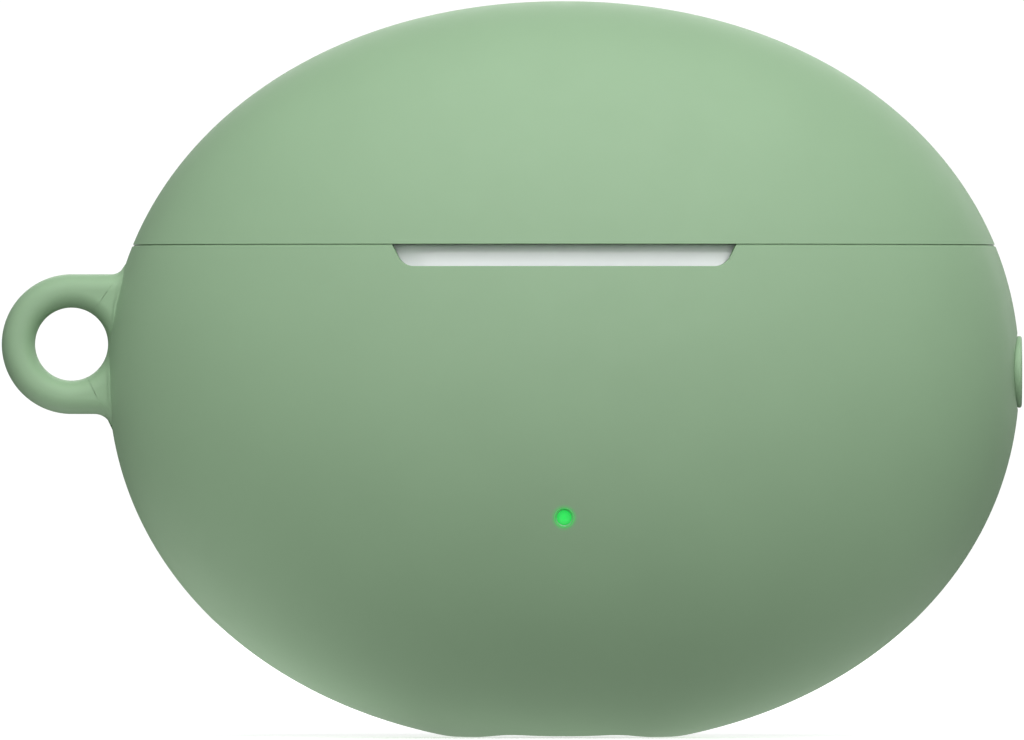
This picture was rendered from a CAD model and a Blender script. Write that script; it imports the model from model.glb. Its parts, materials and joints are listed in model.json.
"""Looks of the charging case in its silicone cover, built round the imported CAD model.

Lengths in the shape functions are millimetres, as the case is drawn; meshes are stored in metres.
"""

import json
import math

import bmesh
import bpy
import numpy as np
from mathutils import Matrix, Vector


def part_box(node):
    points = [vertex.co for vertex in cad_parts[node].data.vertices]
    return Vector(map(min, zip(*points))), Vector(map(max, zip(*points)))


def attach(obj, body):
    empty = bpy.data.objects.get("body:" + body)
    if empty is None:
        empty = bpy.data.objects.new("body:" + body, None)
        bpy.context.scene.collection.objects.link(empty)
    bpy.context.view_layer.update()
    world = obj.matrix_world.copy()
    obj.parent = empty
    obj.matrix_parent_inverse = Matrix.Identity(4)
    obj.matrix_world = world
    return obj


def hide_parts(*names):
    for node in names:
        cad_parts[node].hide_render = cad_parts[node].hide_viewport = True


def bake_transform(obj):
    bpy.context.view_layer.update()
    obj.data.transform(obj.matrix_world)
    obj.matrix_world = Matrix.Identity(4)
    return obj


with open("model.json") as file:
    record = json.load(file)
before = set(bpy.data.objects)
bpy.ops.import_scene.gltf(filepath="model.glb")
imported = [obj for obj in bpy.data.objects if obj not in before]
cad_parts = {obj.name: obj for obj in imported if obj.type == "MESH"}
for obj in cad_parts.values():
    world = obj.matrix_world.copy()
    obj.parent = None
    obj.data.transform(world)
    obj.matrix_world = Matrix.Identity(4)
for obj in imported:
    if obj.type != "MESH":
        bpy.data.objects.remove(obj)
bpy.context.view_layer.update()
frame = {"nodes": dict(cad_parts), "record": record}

MM = 0.001
# The pebble form: half sizes of the cover's skin, the height of its centre
# and the power of its outline.
HALF_WIDTH, HALF_HEIGHT, HALF_DEPTH = 32.4, 26.5, 15.2
CENTRE_UP = 25.8
POWER = 2.084
# The seam, the heights of the rims on either side of it, and the rounding of a rim's corners.
SEAM = 35.0
LID_RIM, BASE_RIM = 34.985, 34.865
RIM_EDGE = 0.05
# Step along the rim: its rise, and its section as (share of the wall, share of the rise).
RIM_STEP = 0.095
STEP_SECTION = [(0.065, 0), (0.065, 0.7), (0.1, 1), (0.7, 1), (0.74, 0.7), (0.74, 0)]
# Cover: its wall, the height of its floor and the rounding where a wall meets a floor.
WALL = 1.45
FLOOR_UP = 1.3
FOOT_BLEND = 0.12
# Height over a floor, or depth under a crown, where the rows of a shell turn from level to plan.
TURN_IN = 4.0
# How near a point lies to the skin when it takes the skin's own normal.
SKIN_REACH = 0.004
# Windows at the seam, as (across, rise or drop) corners from the outside in.
FRONT_WINDOW = [(12.22, 0.0), (12.12, 0.0), (11.45, -1.44), (0.0, -1.44)]
FRONT_ROUND = 1.4
REAR_WINDOW_LOW = [(19.5, 0.0), (18.0, 0.0), (12.0, -3.0), (0.0, -3.0)]
REAR_WINDOW_HIGH = [(19.5, 0.0), (18.0, 0.0), (12.0, 3.4), (0.0, 3.4)]
REAR_ROUND = 4.0
LIGHT_UP = 15.65
BUTTON_UP = 25.95
# Opening for the port: half length of its straight part, radius, and bevels outside and inside.
PORT_REACH, PORT_RADIUS, PORT_LIP, PORT_THROAT = 3.0, 3.3, 0.4, 0.1
LOOP_X, LOOP_UP = -35.0, 27.92
LOOP_OUTER, LOOP_HOLE, LOOP_THICK = 4.97, 2.59, 1.62
# Width of the loop's rounded edge and the power of its section.
LOOP_ROUND, LOOP_POWER = 1.19, 2.3
# Neck of the loop: flare radii above and below, swelling at the skin,
# and how deep its root lies in the wall.
NECK_FLARE = (1.1, 1.3)
NECK_SWELL = 0.15
ROOT_DEEP = 0.75
# Holes as (radius, depth under the skin) profiles.
LIGHT_HOLE = [(0.61, 3.0), (0.61, 0.06), (0.62, 0.02), (0.65, -0.01), (0.65, -1.0)]
BUTTON_HOLE = [
    (2.63, 2.4),
    (2.63, 0.2),
    (2.65, 0.1),
    (2.7, 0.03),
    (2.76, 0.0),
    (2.86, -0.03),
    (2.86, -1.5),
]
# Pad over the button: radius, height of its face and rounding; its back as (radius, distance
# from the middle of the case), and the dish of its face as (radius, depth).
PAD_RADIUS, PAD_FACE, PAD_EDGE = 2.56, 32.55, 0.18
PAD_BACK = [(0.05, 31.36), (1.9, 31.36), (2.3, 31.4)]
PAD_DISH = [(1.9, 0.01), (1.2, 0.03), (0.05, 0.035)]
# Skirt round the pad: its section as (radius, distance from the middle of the case),
# and the stretch over which it goes from the cover to the pad.
WEB_SECTION = [
    (2.42, 31.86),
    (2.42, 31.98),
    (2.6, 31.8),
    (2.74, 31.5),
    (2.74, 31.34),
    (2.6, 31.62),
]
# Ridge inside the lid's rim: its section as (inset from the skin, height over the seam),
# and its sweep in degrees round the front.
LIP_SECTION = [(3.2, 0.3), (3.2, -0.16), (3.26, -0.22), (3.44, -0.22), (3.5, -0.16), (3.5, 0.3)]
LIP_TURN = (200, 340)
# Length at each end of a spring that stays with what it rests on, in metres.
HINGE_WIRE, CONTACT_WIRE = 0.0003, 0.0001
# Colour of the cover, and the glow round its light: full out to the core, gone at the reach.
SAGE = (0.325, 0.5, 0.305)
GLOW_CORE, GLOW_REACH, GLOW_STRENGTH, GLOW_FLAT = 0.55, 1.0, 0.4, 0.15
# Colour, roughness and other settings of the plain finishes, by slot.
NICKEL = {"patch": 800, "grain": 3000, "depth": 3e-6, "Metallic": 1.0}
GOLD = {"patch": 2500, "grain": 9000, "depth": 1.5e-6, "Metallic": 1.0}
PLAIN = {
    "white_satin": ((0.8, 0.815, 0.825), 0.36, {"mottle": 0.012, "patch": 160, "depth": 2.5e-6}),
    "bumper_rubber": ((0.3, 0.31, 0.32), 0.7, {"patch": 1500, "depth": 6e-6}),
    "magnet_nickel": ((0.68, 0.66, 0.62), 0.16, NICKEL),
    "contact_gold": ((0.93, 0.68, 0.3), 0.2, GOLD),
    "chip_black": ((0.022, 0.022, 0.024), 0.5, {"mottle": 0.2, "patch": 1800, "depth": 8e-6}),
    "switch_red": ((0.45, 0.03, 0.03), 0.4, {"mottle": 0.06, "patch": 900}),
    "tongue_black": ((0.03, 0.03, 0.031), 0.45, {"mottle": 0.15, "patch": 1500}),
    "lead_red": ((0.5, 0.02, 0.02), 0.42, {"mottle": 0.06, "patch": 1400}),
    "lead_black": ((0.022, 0.022, 0.022), 0.42, {"mottle": 0.15, "patch": 1400}),
}
# The same for the brushed metals.
BRUSHED = {
    "hinge_steel": ((0.62, 0.62, 0.64), 0.28, {}),
    "screw_steel": ((0.42, 0.42, 0.44), 0.3, {"along": (40.0, 3.0, 40.0)}),
    "spring_steel": ((0.55, 0.55, 0.57), 0.25, {"along": (20.0, 20.0, 60.0)}),
    "usb_steel": ((0.62, 0.62, 0.64), 0.24, {"along": (30.0, 30.0, 1.0)}),
}
# Brightness of the room from behind to in front, from below to above, and as the camera sees it.
ROOM_FRONT = (0.5, 1.3)
ROOM_RISE = (0.06, 0.41)
ROOM_WHITE = 1.05
# Lamps: azimuth and elevation in degrees, distance and size in metres, power in watts.
LAMPS = {
    "key": (8, 52, 0.7, (0.7, 0.85), 3.8),
    "fill": (2, 4, 0.9, (0.7, 0.5), 2.9),
    "back": (180, 28, 0.8, (0.6, 0.4), 1.6),
    "rim_right": (138, 14, 0.6, (0.25, 0.5), 0.8),
}
# Floor in millimetres: radii of its rings, points in a ring, and how far it lies below the foot.
FLOOR_RINGS, FLOOR_SIDES, FLOOR_DROP = (900, 300, 60), 96, 0.05
# Brightness of the floor as the camera sees it, near and far, and the span between in metres.
FLOOR_GLOW = (0.55, 1.0)
FLOOR_SPAN = (0.08, 0.3)
# Patches of light on the floor that fall on the case and that the camera doesn't see:
# centre, scale along each axis, brightness, full and outer reach.
BOUNCES = [
    ((-0.011, 0.0, 0.0), (0.32, 1.0, 1.0), 0.4, 0.006, 0.0145),
    ((-0.004, 0.0, 0.0), (0.3, 1.0, 1.0), 0.12, 0.012, 0.045),
    ((-0.045, 0.003, 0.0), (0.95, 1.0, 1.0), 0.8, 0.009, 0.034),
    ((0.036, 0.006, 0.0), (0.8, 1.0, 1.0), 0.52, 0.009, 0.026),
]
# Camera, in metres.
VIEW_DISTANCE, VIEW_WIDTH = 2.0, 0.0728
VIEW_X, VIEW_UP = -0.00369, 0.02608


# ---------------------------------------------------------------- the pebble form


class Pebble:
    """Skin of the case's form, its half sizes less by an inset."""

    def __init__(self, inset):
        self.a = HALF_WIDTH - inset
        self.b = HALF_HEIGHT - inset
        self.c = HALF_DEPTH - inset

    def half_width(self, z):
        """Half width of the level section at a height."""
        share = np.clip(np.abs(z - CENTRE_UP) / self.b, 0, 1)
        return self.a * (1 - share**POWER) ** (1 / POWER)

    def girth(self, x):
        """Square of the share that a section across x keeps of the full ellipse."""
        return np.maximum(1 - np.abs(x / self.a) ** POWER, 0) ** (2 / POWER)

    def depth(self, x, z):
        """Half depth at a place in the front view."""
        return self.c * np.sqrt(np.maximum(self.girth(x) - ((z - CENTRE_UP) / self.b) ** 2, 0))

    def side(self, y, z):
        """Distance of the skin from the middle at a place in the side view."""
        section = (y / self.c) ** 2 + ((z - CENTRE_UP) / self.b) ** 2
        return self.a * np.maximum(1 - section ** (POWER / 2), 0) ** (1 / POWER)

    def rise(self, x, y):
        """Distance of the skin above or below the centre at a place in the plan."""
        return self.b * np.sqrt(np.maximum(self.girth(x) - (y / self.c) ** 2, 0))

    def normal(self, points):
        """Outward unit normals at points on or near the skin."""
        x, y, z = points[..., 0], points[..., 1], points[..., 2] - CENTRE_UP
        section = np.maximum((y / self.c) ** 2 + (z / self.b) ** 2, 1e-12) ** (POWER / 2 - 1)
        across = np.sign(x) * np.abs(x) ** (POWER - 1) / self.a**POWER
        slope = np.stack([across, section * y / self.c**2, section * z / self.b**2], -1)
        return slope / np.linalg.norm(slope, axis=-1, keepdims=True)

    def level(self, share, side, z):
        """Points of the level section at a height.

        share is x over the half width, and side is -1 in front.
        """
        x = self.half_width(z) * share
        return np.stack([x, side * self.depth(x, z), z + 0 * x], -1)


OUTER, INNER = Pebble(0.0), Pebble(WALL)


def unit(vectors):
    """Vectors scaled to length 1."""
    return vectors / np.maximum(np.linalg.norm(vectors, axis=-1, keepdims=True), 1e-12)


def rounded_path(corners, radius, steps=9):
    """Open outline through the corners, each inner corner rounded by an arc."""
    corners = np.array(corners, float)
    path = [corners[0]]
    for before, corner, after in zip(corners[:-2], corners[1:-1], corners[2:]):
        to_before, to_after = unit(before - corner), unit(after - corner)
        half = math.acos(np.clip(to_before @ to_after, -1, 1)) / 2
        room = min(0.49 * np.linalg.norm(before - corner), 0.98 * np.linalg.norm(after - corner))
        back = min(radius / math.tan(half), room)
        middle = corner + unit(to_before + to_after) * back / math.cos(half)
        start, end = corner + to_before * back - middle, corner + to_after * back - middle
        turn = math.acos(np.clip(unit(start) @ unit(end), -1, 1))
        for step in np.linspace(0, 1, steps):
            spoke = math.sin((1 - step) * turn) * start + math.sin(step * turn) * end
            path.append(middle + spoke / math.sin(turn))
    path.append(corners[-1])
    return np.array(path)


def stadium_at(across, deep, reach, radius):
    """Where a ray from the centre in each plan direction meets a stadium."""
    size = np.maximum(np.hypot(across, deep), 1e-9)
    dx, dy = np.abs(across) / size, np.abs(deep) / size
    flat = radius / np.maximum(dy, 1e-9)
    along = reach * dx
    curved = along + np.sqrt(np.maximum(along**2 - reach**2 + radius**2, 0))
    far = np.where(flat * dx <= reach, flat, curved)
    return across / size * far, deep / size * far


def bezier(start, corner, end, steps):
    """Rows that round a corner, from the start row to the end row."""
    rows = []
    for t in np.linspace(0, 1, steps):
        rows.append((1 - t) ** 2 * start + 2 * t * (1 - t) * corner + t**2 * end)
    return rows


def soft_max(one, other, blend):
    """Larger of two values, rounded where they cross."""
    overlap = np.maximum(blend - np.abs(one - other), 0) / blend
    return np.maximum(one, other) + overlap**2 * blend / 4


# ---------------------------------------------------------------- meshes


def mesh_object(name, points, faces):
    """Smooth mesh object from points in millimetres."""
    mesh = bpy.data.meshes.new(name)
    places = (np.asarray(points, float) * MM).tolist()
    mesh.from_pydata(places, [], [list(map(int, face)) for face in faces])
    mesh.update()
    mesh.shade_smooth()
    thing = bpy.data.objects.new(name, mesh)
    bpy.context.scene.collection.objects.link(thing)
    return thing


def grid_faces(rows, columns, close_rows=False, close_columns=True):
    """Quads between the rows and columns of a grid of points."""
    row_ends = rows if close_rows else rows - 1
    column_ends = columns if close_columns else columns - 1
    row, column = np.meshgrid(np.arange(row_ends), np.arange(column_ends), indexing="ij")
    next_row, next_column = (row + 1) % rows, (column + 1) % columns
    this, following = row * columns, next_row * columns
    corners = [this + column, this + next_column, following + next_column, following + column]
    return np.stack(corners, -1).reshape(-1, 4).tolist()


def face_outward(thing):
    """Turns every face of a closed mesh outward."""
    work = bmesh.new()
    work.from_mesh(thing.data)
    bmesh.ops.recalc_face_normals(work, faces=work.faces)
    work.to_mesh(thing.data)
    work.free()
    return thing


def columns_round(pebble, windows, seam, count=224):
    """Where the columns of a shell stand: share of the half width, side and height of the rim.

    windows is {side: outline}. Columns gather where an outline bends.
    """
    shares, sides, heights = [], [], []
    for side in (-1, 1):
        outline = windows.get(side)
        turns = list(np.linspace(0, math.pi, count // 2 + 1)[:-1])
        if outline is not None:
            spots = outline[outline[:, 0] > 0.05]
            reach = spots[:, 0] / pebble.half_width(seam + spots[:, 1])
            found = np.arccos(np.clip(reach, -1, 1))
            found = np.concatenate([found, math.pi - found])
            turns = [turn for turn in turns if np.min(np.abs(found - turn)) > 0.006]
            turns = sorted(turns + list(found))
        turns = np.array(turns)
        share = np.cos(turns) * (1 if side < 0 else -1)
        height = np.full(len(share), float(seam))
        if outline is not None:
            order = np.argsort(outline[:, 0])
            for _ in range(40):
                across = np.abs(pebble.half_width(height) * share)
                height = seam + np.interp(across, outline[order, 0], outline[order, 1])
        shares.append(share)
        sides.append(np.full(len(share), float(side)))
        heights.append(height)
    return np.concatenate(shares), np.concatenate(sides), np.concatenate(heights)


def rim(outer, inner, share, side, height, down, edge, step=0.0):
    """Rows over the rim, from the outer skin to the inner one.

    down is -1 where the wall hangs below the rim. A step runs along the middle of the rim
    wherever the rim is at its full height.
    """
    line = outer.level(share, side, height)
    inner_width = inner.half_width(height)
    spread = outer.half_width(height) / inner_width
    inner_share = share * spread * (1 - (1 - 1 / spread) * share**2)
    inner_line = inner.level(inner_share, side, height)
    tangent = unit(np.roll(line, -1, 0) - np.roll(line, 1, 0))
    into = unit(np.cross(outer.normal(line), tangent))
    into *= np.where(np.sum(into[:, 2]) * down > 0, 1, -1)
    inner_tangent = unit(np.roll(inner_line, -1, 0) - np.roll(inner_line, 1, 0))
    inner_into = unit(np.cross(inner.normal(inner_line), inner_tangent))
    inner_into *= np.where(np.sum(inner_into[:, 2]) * down > 0, 1, -1)
    across = unit(inner_line - line)
    rows = bezier(line + into * edge, line, line + across * edge, 5)
    if step:
        full = (height > np.max(height) - 0.001)[:, None] * np.array([0, 0, step])
        for along, lift in STEP_SECTION:
            rows.append(line + (inner_line - line) * along + full * lift)
    rows += bezier(inner_line - across * edge, inner_line, inner_line + inner_into * edge, 4)
    return rows


def share_of(pebble, row):
    """Share of the half width at which each point of a row stands."""
    return np.clip(row[:, 0] / np.maximum(pebble.half_width(row[:, 2]), 1e-9), -1, 1)


def wall_rows(pebble, row, side, end, count):
    """Rows on a skin, from under a rim row to a level section at the end height."""
    share, start = share_of(pebble, row), row[:, 2]
    steps = np.linspace(0, 1, count + 1)[1:]
    return [pebble.level(share, side, start + (end - start) * t) for t in steps]


def flat_below(pebble, x, y, base):
    """Height of a shell's underside at a place in the plan, cut flat at the base."""
    return soft_max(CENTRE_UP - pebble.rise(x, y), np.full(len(x), base), FOOT_BLEND)


def plan_rows(pebble, row, base, radius, start, count):
    """Rows in the plan between a level section and the port's opening, at the given radius."""
    edge_x, edge_y = stadium_at(row[:, 0] * 0.5, row[:, 1], PORT_REACH, radius)
    rows = []
    for t in np.linspace(start, 1, count):
        x, y = row[:, 0] + (edge_x - row[:, 0]) * t, row[:, 1] + (edge_y - row[:, 1]) * t
        rows.append(np.stack([x, y, flat_below(pebble, x, y, base)], -1))
    return rows


def cup(name, windows):
    """Lower shell: the pebble cut flat at its foot, with the port's opening through the foot."""
    share, side, height = columns_round(OUTER, windows, BASE_RIM)
    over = rim(OUTER, INNER, share, side, height, -1, RIM_EDGE, RIM_STEP)
    outside = wall_rows(OUTER, over[0], side, TURN_IN, 56)
    skirt = outside[-1]
    below = plan_rows(OUTER, skirt, 0.0, PORT_RADIUS + PORT_LIP, 0.06, 26)
    x, y = stadium_at(skirt[:, 0] * 0.5, skirt[:, 1], PORT_REACH, PORT_RADIUS)
    corner = np.stack([x, y, flat_below(OUTER, x, y, 0.0)], -1)
    mouth = bezier(below[-1], corner, corner + [0, 0, PORT_LIP], 6)[1:]
    inside = wall_rows(INNER, over[-1], side, FLOOR_UP + TURN_IN, 30)
    floor_rows = plan_rows(INNER, inside[-1], FLOOR_UP, PORT_RADIUS + PORT_THROAT, 0.1, 14)
    throat = np.stack([x, y, flat_below(INNER, x, y, FLOOR_UP) - PORT_THROAT], -1)
    rows = over[::-1] + outside + below + mouth + [throat] + floor_rows[::-1] + inside[::-1]
    faces = grid_faces(len(rows), len(share), close_rows=True)
    return face_outward(mesh_object(name, np.concatenate(rows), faces))


def dome_rows(pebble, row, side, wall_count, top_count):
    """Rows from a rim to the crown."""
    rows = wall_rows(pebble, row, side, CENTRE_UP + pebble.b - TURN_IN, wall_count)
    plan = rows[-1]
    for t in np.linspace(0, 1, top_count + 1)[1:-1]:
        x, y = plan[:, 0] * (1 - t), plan[:, 1] * (1 - t)
        rows.append(np.stack([x, y, CENTRE_UP + pebble.rise(x, y)], -1))
    return rows


def cap(name, windows):
    """Upper shell: the rounded top of the pebble."""
    share, side, height = columns_round(OUTER, windows, LID_RIM)
    over = rim(OUTER, INNER, share, side, height, 1, RIM_EDGE)
    outside = dome_rows(OUTER, over[0], side, 30, 26)
    inside = dome_rows(INNER, over[-1], side, 18, 14)
    rows = outside[::-1] + over + inside
    poles = [[0, 0, CENTRE_UP + OUTER.b], [0, 0, CENTRE_UP + INNER.b]]
    points = np.concatenate(rows + [poles])
    columns = len(share)
    faces = grid_faces(len(rows), columns)
    crown, ceiling, last = len(points) - 2, len(points) - 1, (len(rows) - 1) * columns
    for column in range(columns):
        following = (column + 1) % columns
        faces.append([crown, following, column])
        faces.append([ceiling, last + column, last + following])
    return face_outward(mesh_object(name, points, faces))


def boolean(target, tool, operation):
    """Applies an exact boolean to the target's mesh and removes the tool."""
    modifier = target.modifiers.new("cut", "BOOLEAN")
    modifier.object = tool
    modifier.operation = operation
    modifier.solver = "EXACT"
    graph = bpy.context.evaluated_depsgraph_get()
    made = bpy.data.meshes.new_from_object(target.evaluated_get(graph))
    target.modifiers.clear()
    old = target.data
    target.data = made
    made.name = target.name
    bpy.data.meshes.remove(old)
    bpy.data.objects.remove(tool)


def lathe(name, profile, origin, axis, segments=96, closed_ring=False):
    """Solid of revolution: profile is (radius, distance along the axis) from end to end."""
    profile = np.array(profile, float)
    turns = np.linspace(0, 2 * math.pi, segments, endpoint=False)
    axis = unit(np.array(axis, float))
    aside = unit(np.cross(axis, [0.0, 0.0, 1.0] if abs(axis[2]) < 0.9 else [1.0, 0.0, 0.0]))
    other = np.cross(axis, aside)
    spokes = np.cos(turns)[:, None] * aside + np.sin(turns)[:, None] * other
    rows = [origin + along * axis + radius * spokes for radius, along in profile]
    points = np.concatenate(rows)
    faces = grid_faces(len(rows), segments, close_rows=closed_ring)
    if not closed_ring:
        faces += [list(range(segments)), list(range(len(points) - segments, len(points)))]
    return face_outward(mesh_object(name, points, faces))


# ---------------------------------------------------------------- silicone cover and lip


def skin_normals(thing, pebble):
    """Gives the corners of faces that lie on a skin the skin's own normals."""
    mesh = thing.data
    points = np.zeros(len(mesh.vertices) * 3)
    mesh.vertices.foreach_get("co", points)
    points = points.reshape(-1, 3) / MM
    x, y, z = points.T
    section = (y / pebble.c) ** 2 + ((z - CENTRE_UP) / pebble.b) ** 2
    level = np.abs(x / pebble.a) ** POWER + section ** (POWER / 2)
    on_skin = np.abs(level - 1) * min(pebble.a, pebble.b, pebble.c) / POWER < SKIN_REACH
    exact = pebble.normal(points)
    normals = np.zeros((len(mesh.loops), 3))
    corners = np.zeros(len(mesh.loops), int)
    mesh.loops.foreach_get("vertex_index", corners)
    starts = np.zeros(len(mesh.polygons), int)
    sizes = np.zeros(len(mesh.polygons), int)
    mesh.polygons.foreach_get("loop_start", starts)
    mesh.polygons.foreach_get("loop_total", sizes)
    whole = np.logical_and.reduceat(on_skin[corners], starts)
    flags = np.repeat(whole, sizes)
    normals[flags] = exact[corners[flags]]
    mesh.normals_split_custom_set(normals.tolist())
    return thing


def neck_flare(level, sign, radius):
    """Edge of the loop's neck, from the end of the straight line to the side of the cover."""
    rise = 0.0
    for _ in range(30):
        height = level + sign * rise
        narrowing = OUTER.half_width(height - 0.01) - OUTER.half_width(height + 0.01)
        turn = math.pi / 2 - sign * math.atan(float(narrowing) / 0.02)
        rise = radius * (1 - math.cos(turn))
    start = -float(OUTER.half_width(level + sign * rise)) - radius * math.sin(turn)
    edge = [[LOOP_X + (start - LOOP_X) * share, level] for share in np.linspace(0, 1, 14)[1:-1]]
    for angle in np.linspace(0, turn, 16):
        climb = sign * radius * (1 - math.cos(angle))
        edge.append([start + radius * math.sin(angle), level + climb])
    return edge


def loop_outline():
    """Front outline of the loop and its neck, and which of its points lie inside the wall."""
    path = []
    for turn in np.linspace(1.5 * math.pi, 0.5 * math.pi, 97):
        path.append([LOOP_X + LOOP_OUTER * math.cos(turn), LOOP_UP + LOOP_OUTER * math.sin(turn)])
    upper = neck_flare(LOOP_UP + LOOP_OUTER, 1, NECK_FLARE[0])
    lower = neck_flare(LOOP_UP - LOOP_OUTER, -1, NECK_FLARE[1])
    heights = np.linspace(upper[-1][1], lower[-1][1], 40)
    root = [[ROOT_DEEP - float(OUTER.half_width(height)), height] for height in heights]
    sink = np.linspace(0, 1, 12)[1:-1, None]
    into = list(np.array(upper[-1]) * (1 - sink) + np.array(root[0]) * sink)
    back = list(np.array(root[-1]) * (1 - sink) + np.array(lower[-1]) * sink)
    root = into + root + back
    path = np.array(path + upper + root + lower[::-1])
    buried = np.zeros(len(path), bool)
    first = len(path) - len(lower) - len(root)
    buried[first : first + len(root)] = True
    return path, buried


def loop_tool():
    """Carry loop: a ring with a rounded section, whose neck flares into the side of the cover."""
    path, buried = loop_outline()
    centre = np.array([LOOP_X, LOOP_UP])
    spoke = unit(path - centre)
    hole = centre + spoke * LOOP_HOLE
    span = np.linalg.norm(path - hole, axis=1)
    free_edge = path[~buried]
    near = np.minimum(LOOP_ROUND, 0.42 * span)
    bend = 1 - np.cos(np.linspace(0, math.pi / 2, 15))
    steps = [near * share for share in bend]
    steps += [near + (span - 2 * near) * share for share in np.linspace(0, 1, 6)[1:-1]]
    steps += [span - near * share for share in bend[::-1]]
    rows = []
    for sign in (1, -1):
        for from_hole in steps if sign > 0 else steps[::-1][1:-1]:
            place = hole + spoke * from_hole[:, None]
            gaps = np.linalg.norm(place[:, None, :] - free_edge[None, :, :], axis=2)
            nearest = np.argmin(gaps, axis=1)
            from_edge = gaps[np.arange(len(place)), nearest]
            inset = np.clip(np.minimum(from_hole, from_edge) / LOOP_ROUND, 0, 1)
            thick = LOOP_THICK * (1 - (1 - inset) ** LOOP_POWER) ** (1 / LOOP_POWER)
            swell = (place[:, 0] + OUTER.half_width(place[:, 1])) / NECK_SWELL + 1
            swell = np.clip(swell, 0, 1)
            thick = thick + inset * NECK_SWELL * (1 - np.sqrt(1 - swell**2))
            rows.append(np.stack([place[:, 0], sign * thick, place[:, 1]], -1))
    faces = grid_faces(len(rows), len(path), close_rows=True)
    return face_outward(mesh_object("loop_tool", np.concatenate(rows), faces))


def plug(name, profile, spot, over_skin, to_skin):
    """Tool for a round hole through a skin, its lip rounded all round although the skin is curved.

    over_skin(u, v) gives the skin's distance, and to_skin(distance, u, v) the point there.
    """
    turns = np.linspace(0, 2 * math.pi, 96, endpoint=False)
    rows = []
    for radius, depth in profile:
        u, v = spot[0] + radius * np.cos(turns), spot[1] + radius * np.sin(turns)
        rows.append(to_skin(over_skin(u, v) - depth, u, v))
    points = np.concatenate(rows)
    faces = grid_faces(len(rows), len(turns))
    faces += [list(range(len(turns))), list(range(len(points) - len(turns), len(points)))]
    return face_outward(mesh_object(name, points, faces))


def on_side(distance, u, v):
    """Point of the right side."""
    return np.stack([distance, u, v], -1)


def on_front(distance, u, v):
    """Point of the front."""
    return np.stack([u, -distance, v], -1)


def cover_base():
    """Lower half of the cover."""
    front = rounded_path(FRONT_WINDOW, FRONT_ROUND)
    shell = cup("silicone_base", {-1: front, 1: rounded_path(REAR_WINDOW_LOW, REAR_ROUND)})
    light = plug("light_tool", LIGHT_HOLE, (0.0, LIGHT_UP), OUTER.depth, on_front)
    boolean(shell, light, "DIFFERENCE")
    boolean(shell, loop_tool(), "UNION")
    button = plug("button_tool", BUTTON_HOLE, (0.0, BUTTON_UP), OUTER.side, on_side)
    boolean(shell, button, "DIFFERENCE")
    return skin_normals(shell, OUTER)


def cover_lid():
    """Upper half of the cover."""
    shell = cap("silicone_lid", {1: rounded_path(REAR_WINDOW_HIGH, REAR_ROUND)})
    return skin_normals(shell, OUTER)


def button_pad():
    """Round pad over the function button, with a soft edge and a faintly dished face."""
    profile = list(PAD_BACK)
    for turn in np.linspace(0, math.pi / 2, 9):
        radius = PAD_RADIUS - PAD_EDGE + PAD_EDGE * math.cos(turn)
        profile.append((radius, PAD_FACE - PAD_EDGE + PAD_EDGE * math.sin(turn)))
    profile += [(radius, PAD_FACE - depth) for radius, depth in PAD_DISH]
    return lathe("silicone_pad", profile, [0, 0, BUTTON_UP], [1, 0, 0])


def pad_web():
    """Thin skirt of silicone that closes the gap round the pad and flexes as it is pressed."""
    return lathe("silicone_web", WEB_SECTION, [0, 0, BUTTON_UP], [1, 0, 0], closed_ring=True)


def lid_lip():
    """Low ridge inside the lid's rim, which laps the front of the seam and keeps light out."""
    turns = np.linspace(*np.radians(LIP_TURN), 81)
    rows = []
    for inset, up in LIP_SECTION:
        form = Pebble(inset)
        width = form.half_width(SEAM)
        across = width * np.cos(turns)
        height = np.full(len(turns), SEAM + up)
        rows.append(np.stack([across, -form.depth(across, SEAM), height], -1))
    points = np.concatenate(rows)
    columns = len(turns)
    faces = grid_faces(len(rows), columns, close_rows=True, close_columns=False)
    faces += [[row * columns + end for row in range(len(rows))] for end in (0, columns - 1)]
    return face_outward(mesh_object("lid_lip", points, faces))


# ---------------------------------------------------------------- springs


def spring(name, source, axis, wire):
    """Coil that the base holds at one end and another body at the other, along an axis."""
    node = frame["nodes"][source]
    made = bpy.data.objects.new(name, node.data.copy())
    bpy.context.scene.collection.objects.link(made)
    made.matrix_world = node.matrix_world.copy()
    low, high = (Vector(corner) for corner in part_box(source))
    middle = (low + high) / 2
    start, end = middle.copy(), middle.copy()
    start[axis], end[axis] = low[axis] + wire, high[axis] - wire
    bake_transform(made)
    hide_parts(source)
    return made


def springs():
    """The four contact springs and the hinge spring."""
    made = [spring("hinge_coil", "hinge_spring", 0, HINGE_WIRE)]
    for side in ("left", "right"):
        for place in ("front", "rear"):
            spot = f"{side}_{place}"
            coil, source = f"contact_coil_{spot}", f"contact_spring_{spot}"
            made.append(spring(coil, source, 2, CONTACT_WIRE))
    return made


# ---------------------------------------------------------------- finishes


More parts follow.
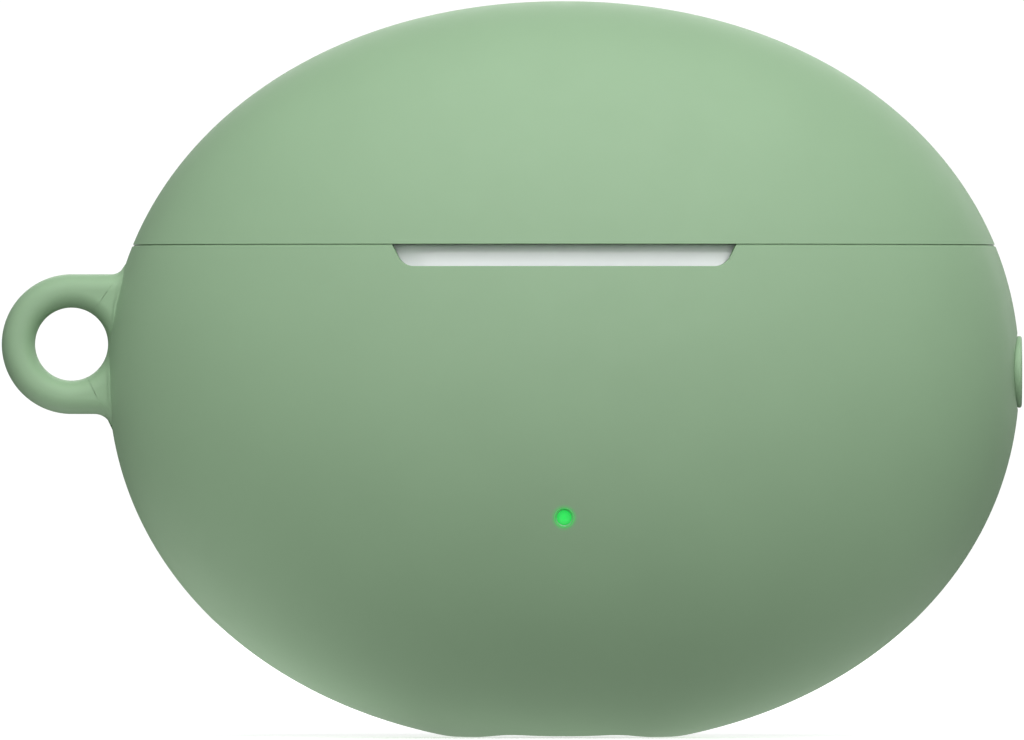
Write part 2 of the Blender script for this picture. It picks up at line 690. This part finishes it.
class Finish:
    """Node material that is built up from noise in the object's own space."""

    def __init__(self, name):
        self.material = bpy.data.materials.new(name)
        self.material.use_nodes = True
        self.tree = self.material.node_tree
        self.shader = self.tree.nodes["Principled BSDF"]
        self.place = self.tree.nodes.new("ShaderNodeTexCoord").outputs["Object"]

    def feed(self, socket, source):
        """Links a socket to another node's output, or sets it to a value."""
        if isinstance(source, bpy.types.NodeSocket):
            self.tree.links.new(source, socket)
        else:
            socket.default_value = source

    def add(self, kind, inputs=(), **settings):
        """New node with its settings and its inputs, each a value or another node's output."""
        made = self.tree.nodes.new(kind)
        for key, setting in settings.items():
            setattr(made, key, setting)
        for key, source in dict(inputs).items():
            self.feed(made.inputs[key], source)
        return made

    def stretched(self, scale):
        """Place in object space with each axis scaled."""
        inputs = {"Vector": self.place, "Scale": scale}
        return self.add("ShaderNodeMapping", inputs).outputs["Vector"]

    def noise(self, scale, detail=3.0, roughness=0.5, vector=None, distortion=0.0):
        """Noise from 0 to 1, with features of about 1 / scale metres."""
        inputs = {
            "Vector": vector or self.place,
            "Scale": scale,
            "Detail": detail,
            "Roughness": roughness,
            "Distortion": distortion,
        }
        return self.add("ShaderNodeTexNoise", inputs).outputs["Fac"]

    def spread(self, source, low, high, start=0.3, end=0.7):
        """Source between start and end mapped to low and high."""
        limits = {"From Min": start, "From Max": end, "To Min": low, "To Max": high}
        return self.add("ShaderNodeMapRange", {"Value": source, **limits}).outputs["Result"]

    def mix(self, share, one, other):
        """Colour between two colours."""
        made = self.add("ShaderNodeMix", data_type="RGBA")
        for key, source in zip((0, 6, 7), (share, one, other)):
            self.feed(made.inputs[key], source)
        return made.outputs[2]

    def maths(self, operation, one, other=0.0):
        """Result of a maths node."""
        return self.add("ShaderNodeMath", {0: one, 1: other}, operation=operation).outputs[0]

    def from_light(self, flatten):
        """Distance from the status light, with the depth into the case scaled down."""
        scale = (1.0, flatten, 1.0)
        flat = self.add("ShaderNodeVectorMath", {0: self.place, 1: scale}, operation="MULTIPLY")
        centre = (0.0, -0.5 * (OUTER.c + INNER.c) * flatten * MM, LIGHT_UP * MM)
        ends = {0: flat.outputs[0], 1: centre}
        reach = self.add("ShaderNodeVectorMath", ends, operation="DISTANCE")
        return reach.outputs["Value"]

    def bump(self, height, depth, strength=1.0, below=None):
        """Normal with relief of about the given depth in metres."""
        inputs = {"Height": height, "Distance": depth, "Strength": strength}
        if below is not None:
            inputs["Normal"] = below
        return self.add("ShaderNodeBump", inputs).outputs["Normal"]

    def to_shader(self, **sockets):
        """Sets or links the shader's sockets, whose names have spaces for underscores."""
        for key, source in sockets.items():
            self.feed(self.shader.inputs[key.replace("_", " ")], source)
        return self.material


def shade(colour, factor):
    """Colour with its brightness scaled."""
    return (*(min(channel * factor, 1.0) for channel in colour), 1.0)


def plain_finish(
    name, colour, rough, mottle=0.03, patch=350.0, grain=5000.0, depth=2e-6, **sockets
):
    """Moulded, painted or cast surface: faint mottling, uneven gloss and fine grain."""
    made = Finish(name)
    patches = made.noise(patch, detail=4.0)
    share = made.spread(patches, 0.0, 1.0)
    tone = made.mix(share, shade(colour, 1 - mottle), shade(colour, 1 + mottle))
    gloss = made.spread(made.noise(patch * 2.7, detail=2.0), rough - 0.05, rough + 0.05)
    relief = made.bump(made.noise(grain, detail=2.0), depth)
    return made.to_shader(Base_Color=tone, Roughness=gloss, Normal=relief, **sockets)


def brushed_finish(name, colour, rough, along=(1.0, 60.0, 60.0)):
    """Drawn or brushed metal: fine lines along one axis."""
    made = Finish(name)
    lines = made.noise(120.0, detail=5.0, roughness=0.7, vector=made.stretched(along))
    tone = made.mix(made.spread(lines, 0.0, 1.0), shade(colour, 0.86), shade(colour, 1.08))
    gloss = made.spread(lines, rough - 0.08, rough + 0.1)
    relief = made.bump(lines, 1.5e-6)
    return made.to_shader(Base_Color=tone, Roughness=gloss, Normal=relief, Metallic=1.0)


def silicone_finish():
    """Matte silicone: powdery skin with a faint green glow where the light shines through."""
    made = Finish("silicone_sage")
    cloud = made.noise(140.0, detail=3.0)
    dust = made.noise(2600.0, detail=4.0, roughness=0.65)
    tone = made.mix(made.spread(cloud, 0.0, 1.0), shade(SAGE, 0.985), shade(SAGE, 1.015))
    tone = made.mix(made.spread(dust, 0.0, 0.22, 0.62, 0.8), tone, shade(SAGE, 1.12))
    gloss = made.spread(made.noise(700.0, detail=3.0), 0.52, 0.6)
    fine = made.bump(made.noise(9000.0, detail=2.0), 1.5e-6)
    skin = made.bump(dust, 2.5e-6, below=fine)
    reach = made.from_light(GLOW_FLAT)
    glow = made.maths("POWER", made.spread(reach, 1.0, 0.0, GLOW_CORE * MM, GLOW_REACH * MM), 1.6)
    power = made.maths("MULTIPLY", glow, GLOW_STRENGTH)
    tone = made.mix(glow, tone, (0.02, 0.34, 0.07, 1))
    return made.to_shader(
        Base_Color=tone,
        Roughness=gloss,
        Normal=skin,
        Sheen_Weight=0.12,
        Sheen_Roughness=0.5,
        Sheen_Tint=(0.7, 0.95, 0.68, 1.0),
        Specular_IOR_Level=0.4,
        Emission_Color=(0.03, 1.0, 0.12, 1.0),
        Emission_Strength=power,
    )


def board_finish():
    """Solder mask over copper tracks, with tinned vias."""
    made = Finish("circuit_board")
    areas = {"Vector": made.place, "Scale": 420.0}
    patches = made.add("ShaderNodeTexVoronoi", areas, distance="CHEBYCHEV")
    channels = made.add("ShaderNodeSeparateColor", {0: patches.outputs["Color"]})
    turn = made.maths("GREATER_THAN", channels.outputs[0], 0.5)
    tracks = []
    for direction in ("X", "Z"):
        lines = {"Vector": made.place, "Scale": 320.0}
        bands = made.add("ShaderNodeTexWave", lines, bands_direction=direction)
        tracks.append(made.maths("GREATER_THAN", bands.outputs["Fac"], 0.62))
    straight = made.maths("MULTIPLY", tracks[0], turn)
    crossing = made.maths("MULTIPLY", tracks[1], made.maths("SUBTRACT", 1.0, turn))
    track = made.maths("ADD", straight, crossing)
    spots = made.add("ShaderNodeTexVoronoi", {"Vector": made.place, "Scale": 700.0})
    via = made.maths("LESS_THAN", spots.outputs["Distance"], 0.17)
    mask = made.mix(made.noise(900.0), (0.012, 0.11, 0.045, 1), (0.018, 0.14, 0.06, 1))
    tone = made.mix(track, mask, (0.03, 0.24, 0.1, 1))
    tone = made.mix(via, tone, (0.72, 0.7, 0.66, 1))
    relief = made.bump(made.maths("ADD", track, via), 1.5e-5)
    gloss = made.spread(made.noise(2500.0), 0.28, 0.4)
    return made.to_shader(
        Base_Color=tone, Roughness=gloss, Metallic=via, Normal=relief, Coat_Weight=0.2
    )


def foil_finish():
    """Battery pouch: crinkled aluminium laminate."""
    made = Finish("cell_foil")
    folds = made.noise(420.0, detail=6.0, roughness=0.6, distortion=1.4)
    tone = made.mix(folds, (0.5, 0.51, 0.53, 1), (0.72, 0.73, 0.75, 1))
    relief = made.bump(folds, 5e-5, 0.6)
    gloss = made.spread(folds, 0.22, 0.4)
    return made.to_shader(Base_Color=tone, Roughness=gloss, Metallic=0.95, Normal=relief)


def foam_finish():
    """Closed-cell foam."""
    made = Finish("foam_grey")
    bubbles = made.add("ShaderNodeTexVoronoi", {"Vector": made.place, "Scale": 4200.0})
    cells = bubbles.outputs["Distance"]
    tone = made.mix(cells, (0.16, 0.16, 0.17, 1), (0.08, 0.08, 0.085, 1))
    relief = made.bump(cells, 4e-5)
    return made.to_shader(Base_Color=tone, Roughness=0.9, Normal=relief, Sheen_Weight=0.2)


def lit_finish(name, core, strength):
    """Clear green plastic lit from inside, a little uneven."""
    made = Finish(name)
    swirl = made.noise(1800.0, detail=2.0)
    tone = made.mix(swirl, shade(core, 0.9), shade(core, 1.0))
    power = made.spread(swirl, strength * 0.94, strength)
    reach = made.from_light(0.1)
    power = made.maths("MULTIPLY", power, made.spread(reach, 1.0, 0.48, 0.0, 0.62 * MM))
    body = made.mix(swirl, shade(core, 0.12), shade(core, 0.16))
    edge = made.spread(reach, 0.0, 1.0, 0.05 * MM, 0.6 * MM)
    return made.to_shader(
        Base_Color=made.mix(edge, body, shade(SAGE, 0.6)),
        Emission_Color=tone,
        Emission_Strength=power,
        Roughness=0.5,
        Specular_IOR_Level=0.15,
        Normal=made.bump(made.noise(4000.0), 1e-6),
    )


def wet_white_finish():
    """Polished white case: deep gloss with a very faint ripple."""
    made = Finish("white_gloss")
    cloud = made.noise(90.0, detail=2.0)
    tone = made.mix(cloud, (0.93, 0.935, 0.97, 1), (0.95, 0.955, 0.985, 1))
    wear = made.spread(made.noise(1500.0, detail=6.0, roughness=0.7), 0.09, 0.16)
    relief = made.bump(made.noise(260.0, detail=1.0), 4e-6, 0.6)
    return made.to_shader(
        Base_Color=tone,
        Roughness=wear,
        Normal=relief,
        Specular_IOR_Level=0.55,
        Coat_Weight=0.5,
        Coat_Roughness=0.06,
    )


def finishes():
    """Material for each of the record's slots."""
    made = {
        "cover_silicone": silicone_finish(),
        "white_gloss": wet_white_finish(),
        "board_green": board_finish(),
        "led_green": lit_finish("led_green", (0.05, 1.0, 0.16), 2.2),
        "guide_clear": lit_finish("guide_clear", (0.036, 1.0, 0.15), 0.98),
        "cell_foil": foil_finish(),
        "foam_grey": foam_finish(),
    }
    for name, (colour, rough, settings) in PLAIN.items():
        made[name] = plain_finish(name, colour, rough, **settings)
    for name, (colour, rough, settings) in BRUSHED.items():
        made[name] = brushed_finish(name, colour, rough, **settings)
    return made


def dress(thing, material):
    """Gives a piece or a CAD node its material."""
    if thing.material_slots:
        for place in thing.material_slots:
            place.material = material
    else:
        thing.data.materials.append(material)


# ---------------------------------------------------------------- studio


def floor():
    """Pale floor, wide and round, a little below the foot so that the two don't fight."""
    turns = np.linspace(0, 2 * math.pi, FLOOR_SIDES, endpoint=False)
    ring = np.stack([np.cos(turns), np.sin(turns), 0 * turns], -1)
    rings = [ring * radius for radius in FLOOR_RINGS]
    points = np.concatenate(rings + [[[0, 0, 0]]]) - [0, 0, FLOOR_DROP]
    faces = grid_faces(len(rings), FLOOR_SIDES)
    middle = len(points) - 1
    inmost = middle - FLOOR_SIDES
    for k in range(FLOOR_SIDES):
        faces.append([inmost + k, inmost + (k + 1) % FLOOR_SIDES, middle])
    made = mesh_object("floor", points, faces)
    paint = Finish("floor_pale")
    far = paint.add("ShaderNodeVectorMath", {0: paint.place}, operation="LENGTH").outputs["Value"]
    tone = paint.mix(paint.noise(12.0, detail=2.0), (0.8, 0.8, 0.8, 1), (0.82, 0.82, 0.82, 1))
    glow = paint.spread(far, *FLOOR_GLOW, *FLOOR_SPAN)
    white = (1.0, 1.0, 1.0, 1.0)
    paint.to_shader(Base_Color=tone, Roughness=0.9, Emission_Color=white, Emission_Strength=glow)
    bounce = paint.add("ShaderNodeEmission")
    strength = 0.0
    for centre, scale, bright, full, reach in BOUNCES:
        flat = paint.add("ShaderNodeVectorMath", {0: paint.place, 1: centre}, operation="SUBTRACT")
        factors = {0: flat.outputs[0], 1: scale}
        flat = paint.add("ShaderNodeVectorMath", factors, operation="MULTIPLY")
        near = paint.add("ShaderNodeVectorMath", {0: flat.outputs[0]}, operation="LENGTH")
        patch = paint.spread(near.outputs["Value"], bright, 0.0, full, reach)
        strength = paint.maths("ADD", patch, strength)
    paint.tree.links.new(strength, bounce.inputs["Strength"])
    choice = paint.add("ShaderNodeMixShader")
    seen = paint.add("ShaderNodeLightPath").outputs["Is Camera Ray"]
    out = paint.tree.nodes["Material Output"]
    for source, socket in ((seen, 0), (bounce.outputs[0], 1), (paint.shader.outputs[0], 2)):
        paint.tree.links.new(source, choice.inputs[socket])
    paint.tree.links.new(choice.outputs[0], out.inputs["Surface"])
    dress(made, paint.material)


def studio_world():
    """White to the camera, and a soft room to the object: brighter above and in front."""
    world = bpy.data.worlds.new("studio")
    bpy.context.scene.world = world
    world.use_nodes = True
    tree = world.node_tree
    tree.nodes.clear()
    place = tree.nodes.new("ShaderNodeTexCoord").outputs["Generated"]

    def toward(direction, low, high):
        """Brightness from low, opposite a direction, to high, along it."""
        dot = tree.nodes.new("ShaderNodeVectorMath")
        dot.operation = "DOT_PRODUCT"
        tree.links.new(place, dot.inputs[0])
        dot.inputs[1].default_value = Vector(direction).normalized()
        ramp = tree.nodes.new("ShaderNodeMapRange")
        ramp.interpolation_type = "SMOOTHSTEP"
        limits = {"From Min": -1.0, "From Max": 1.0, "To Min": low, "To Max": high}
        for key, number in limits.items():
            ramp.inputs[key].default_value = number
        tree.links.new(dot.outputs["Value"], ramp.inputs["Value"])
        return ramp.outputs["Result"]

    product = tree.nodes.new("ShaderNodeMath")
    product.operation = "MULTIPLY"
    tree.links.new(toward((0.15, -1.0, 0.0), *ROOM_FRONT), product.inputs[0])
    tree.links.new(toward((0.0, 0.0, 1.0), *ROOM_RISE), product.inputs[1])
    room = tree.nodes.new("ShaderNodeBackground")
    room.inputs["Color"].default_value = (0.98, 1.0, 1.01, 1.0)
    tree.links.new(product.outputs[0], room.inputs["Strength"])
    blank = tree.nodes.new("ShaderNodeBackground")
    blank.inputs["Color"].default_value = (1.0, 1.0, 1.0, 1.0)
    blank.inputs["Strength"].default_value = ROOM_WHITE
    seen = tree.nodes.new("ShaderNodeLightPath").outputs["Is Camera Ray"]
    choice = tree.nodes.new("ShaderNodeMixShader")
    tree.links.new(seen, choice.inputs[0])
    tree.links.new(room.outputs[0], choice.inputs[1])
    tree.links.new(blank.outputs[0], choice.inputs[2])
    out = tree.nodes.new("ShaderNodeOutputWorld")
    tree.links.new(choice.outputs[0], out.inputs["Surface"])


def area_light(name, azimuth, elevation, distance, size, power):
    """Soft light aimed at the object: azimuth 0 is in front, 90 to the right."""
    lamp = bpy.data.lights.new(name, "AREA")
    lamp.shape = "RECTANGLE"
    lamp.size, lamp.size_y = size
    lamp.energy = power
    thing = bpy.data.objects.new(name, lamp)
    bpy.context.scene.collection.objects.link(thing)
    turn, climb = math.radians(azimuth), math.radians(elevation)
    level = math.cos(climb)
    back = Vector((math.sin(turn) * level, -math.cos(turn) * level, math.sin(climb)))
    thing.location = Vector((0, 0, CENTRE_UP * MM)) + back * distance
    thing.rotation_mode = "QUATERNION"
    thing.rotation_quaternion = back.to_track_quat("Z", "Y")


def camera():
    """Long lens at the middle of the front, level with the case."""
    lens = bpy.data.cameras.new("camera")
    lens.type = "PERSP"
    lens.sensor_width = 36.0
    lens.lens = lens.sensor_width * VIEW_DISTANCE / VIEW_WIDTH
    lens.clip_start, lens.clip_end = 0.05, 10.0
    lens.dof.use_dof = False
    thing = bpy.data.objects.new("camera", lens)
    bpy.context.scene.collection.objects.link(thing)
    thing.location = (VIEW_X, -VIEW_DISTANCE, VIEW_UP)
    thing.rotation_euler = (math.pi / 2, 0, 0)
    bpy.context.scene.camera = thing


# ---------------------------------------------------------------- the whole case


def build():
    """Places the new pieces, paints everything and sets the studio."""
    paints = finishes()
    pieces = [
        (cover_base(), "base", ["cover_base"]),
        (cover_lid(), "lid", ["cover_lid"]),
        (button_pad(), "button", ["cover_button_pad"]),
    ]
    for piece, body, replaced in pieces:
        dress(piece, paints["cover_silicone"])
        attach(piece, body)
        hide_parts(*replaced)
    web = pad_web()
    dress(web, paints["cover_silicone"])
    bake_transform(web)
    lip = lid_lip()
    dress(lip, paints["white_satin"])
    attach(lip, "lid")
    for coil in springs():
        dress(coil, paints["spring_steel"])
    for part in frame["record"]["subparts"]:
        dress(frame["nodes"][part["node"]], paints[part["material_slot"]])
    floor()
    studio_world()
    for name, settings in LAMPS.items():
        area_light(name, *settings)
    camera()
    bpy.context.scene.view_settings.view_transform = "Standard"


build()
